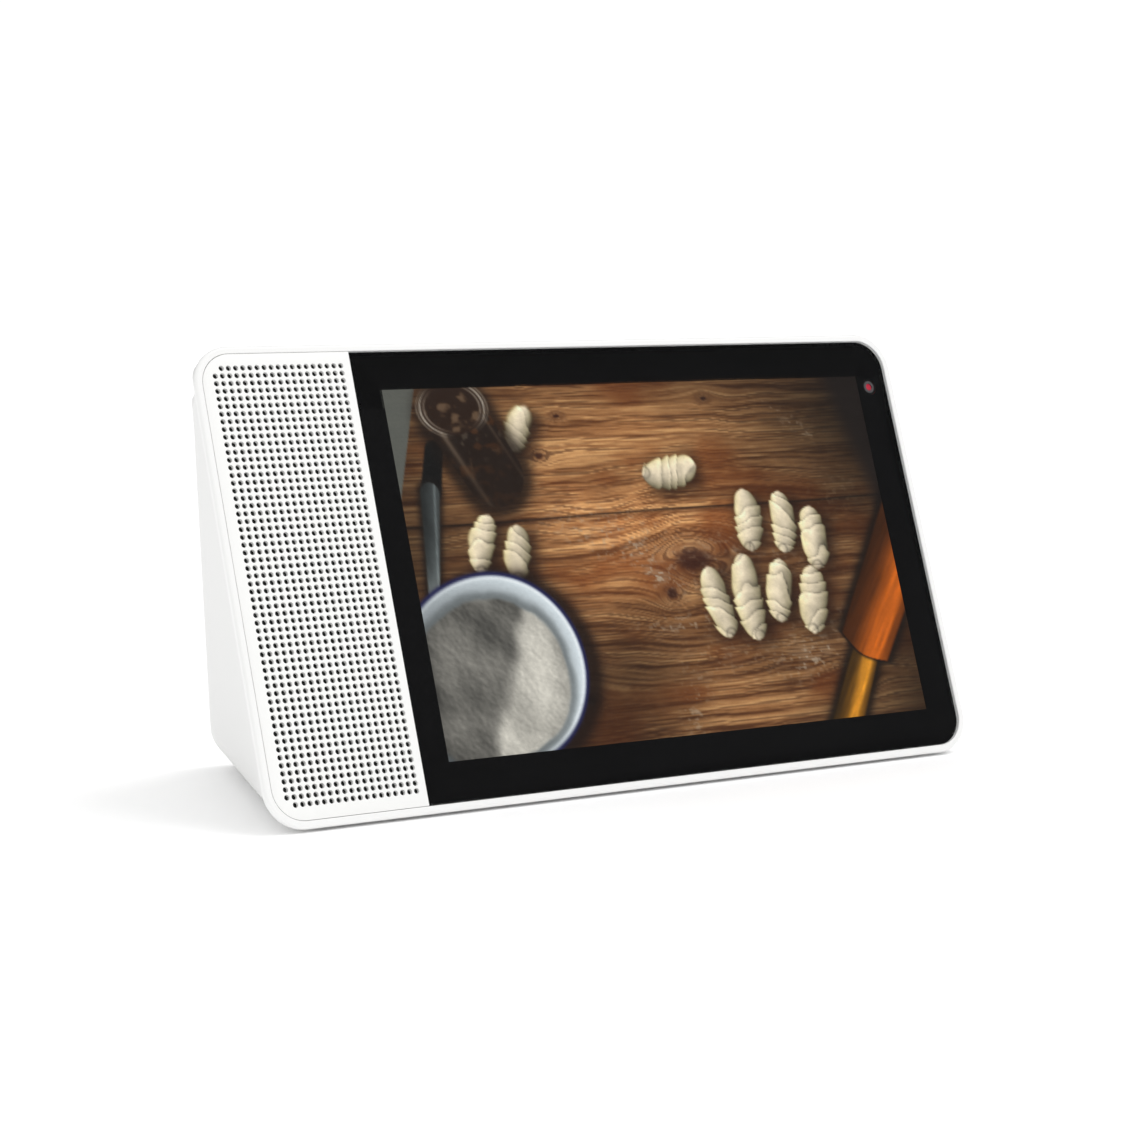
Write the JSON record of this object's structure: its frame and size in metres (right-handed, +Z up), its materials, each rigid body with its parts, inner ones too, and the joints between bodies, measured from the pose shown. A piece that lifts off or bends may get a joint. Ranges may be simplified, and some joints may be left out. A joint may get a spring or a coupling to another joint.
{
  "type": "smart display",
  "caption": "Wedge-shaped countertop smart display that leans back, with a perforated loudspeaker panel at the left of a glass-fronted landscape screen.",
  "frame": {"origin": "centre of the footprint's bounding box, on the table plane", "axes": "+X to the viewer's right along the screen, +Y to the back, +Z up; the screen faces -Y and leans back"},
  "size_m": [0.2632, 0.1124, 0.1393],
  "materials": {
    "white_frame": "white moulded plastic with a soft gloss",
    "white_grille": "white moulded plastic, fine satin",
    "white_shell": "white moulded plastic, soft touch satin",
    "white_knob": "white moulded plastic",
    "black_cloth": "fine black acoustic mesh cloth",
    "cover_glass": "clear polished glass",
    "black_film": "opaque black print on film",
    "clear_acrylic": "clear acrylic",
    "tray_steel": "thin pressed steel",
    "chassis_steel": "zinc plated sheet steel",
    "foot_rubber": "dark grey rubber",
    "screw_steel": "nickel plated steel",
    "black_plastic": "black moulded plastic",
    "black_foam": "black foam",
    "basket_steel": "black painted steel",
    "magnet_ferrite": "dark grey ferrite",
    "pole_steel": "plated steel",
    "coil_copper": "enamelled copper wire",
    "cone_paper": "black pressed paper",
    "surround_rubber": "black rubber",
    "spider_cloth": "resin treated cloth",
    "radiator_metal": "dark anodised aluminium",
    "board_green": "green solder mask",
    "chip_black": "black moulded package",
    "thermal_pad": "soft grey silicone pad",
    "sink_aluminium": "extruded aluminium",
    "tin_plate": "tin plate",
    "contact_brass": "plated brass",
    "wire_red": "red insulated wire",
    "wire_black": "black insulated wire",
    "flex_amber": "amber polyimide",
    "camera_black": "black plastic",
    "lens_glass": "coated lens",
    "ring_grey": "grey painted trim",
    "shutter_red": "red plastic",
    "tact_black": "black plastic",
    "antenna_black": "black printed flex",
    "screen_panel": "lit picture on a liquid crystal panel"
  },
  "bodies": {
    "housing": {"front_frame": "white_frame", "speaker_grille": "white_grille", "acoustic_cloth": "black_cloth", "cover_glass": "cover_glass", "mask_film": "black_film", "lcd_panel": "screen_panel", "light_guide": "clear_acrylic", "backlight_tray": "tray_steel", "chassis": "chassis_steel", "back_shell": "white_shell", "front_foot": "foot_rubber", "rear_foot": "foot_rubber", "shell_screws": "screw_steel", "chassis_screws": "screw_steel", "board_screws": "screw_steel", "speaker_box": "black_plastic", "speaker_baffle": "black_plastic", "speaker_gasket": "black_foam", "speaker_basket": "basket_steel", "speaker_magnet": "magnet_ferrite", "top_plate": "pole_steel", "pole_yoke": "pole_steel", "speaker_surround": "surround_rubber", "speaker_spider": "spider_cloth", "upper_surround": "surround_rubber", "lower_surround": "surround_rubber", "main_board": "board_green", "processor": "chip_black", "memory_chips": "chip_black", "thermal_pad": "thermal_pad", "heat_sink": "sink_aluminium", "shield_can": "tin_plate", "dc_inlet": "black_plastic", "inlet_pin": "contact_brass", "power_wires": "wire_red", "speaker_wires": "wire_black", "display_flex": "flex_amber", "camera_flex": "flex_amber", "camera_module": "camera_black", "camera_lens": "lens_glass", "camera_ring": "ring_grey", "shutter_guide": "black_plastic", "switch_board": "board_green", "mute_switch_body": "tin_plate", "button_board": "board_green", "tact_switches": "tact_black", "microphones": "contact_brass", "antennas": "antenna_black"},
    "volume_up": {"volume_up_button": "white_knob", "volume_up_plunger": "tact_black"},
    "volume_down": {"volume_down_button": "white_knob", "volume_down_plunger": "tact_black"},
    "camera_shutter": {"shutter_knob": "white_knob", "shutter_blade": "shutter_red"},
    "mute_switch": {"mute_knob": "white_knob"},
    "driver_cone": {"speaker_cone": "cone_paper", "dust_cap": "cone_paper", "voice_coil": "coil_copper"},
    "upper_radiator_body": {"upper_radiator": "radiator_metal"},
    "lower_radiator_body": {"lower_radiator": "radiator_metal"}
  },
  "joints": [
    {"name": "volume_up_press", "type": "slide", "parent": "housing", "child": "volume_up", "axis": [0, -0.342, -0.9397], "range_m": [0, 0.0005], "stiffness_N_per_m": 1500, "springref_m": -0.0004},
    {"name": "volume_down_press", "type": "slide", "parent": "housing", "child": "volume_down", "axis": [0, -0.342, -0.9397], "range_m": [0, 0.0005], "stiffness_N_per_m": 1500, "springref_m": -0.0004},
    {"name": "camera_shutter_slide", "type": "slide", "parent": "housing", "child": "camera_shutter", "axis": [0, -0.342, -0.9397], "range_m": [0, 0.005]},
    {"name": "mute_switch_slide", "type": "slide", "parent": "housing", "child": "mute_switch", "axis": [0, 0.342, 0.9397], "range_m": [0, 0.002]},
    {"name": "driver_cone_travel", "type": "slide", "parent": "housing", "child": "driver_cone", "axis": [0, -0.9397, 0.342], "range_m": [-0.0012, 0.0012], "stiffness_N_per_m": 700, "deforming": ["speaker_surround", "speaker_spider"]},
    {"name": "upper_radiator_travel", "type": "slide", "parent": "housing", "child": "upper_radiator_body", "axis": [0, -0.9397, 0.342], "range_m": [-0.001, 0.001], "stiffness_N_per_m": 400, "deforming": ["upper_surround"]},
    {"name": "lower_radiator_travel", "type": "slide", "parent": "housing", "child": "lower_radiator_body", "axis": [0, -0.9397, 0.342], "range_m": [-0.001, 0.001], "stiffness_N_per_m": 400, "deforming": ["lower_surround"]}
  ]
}
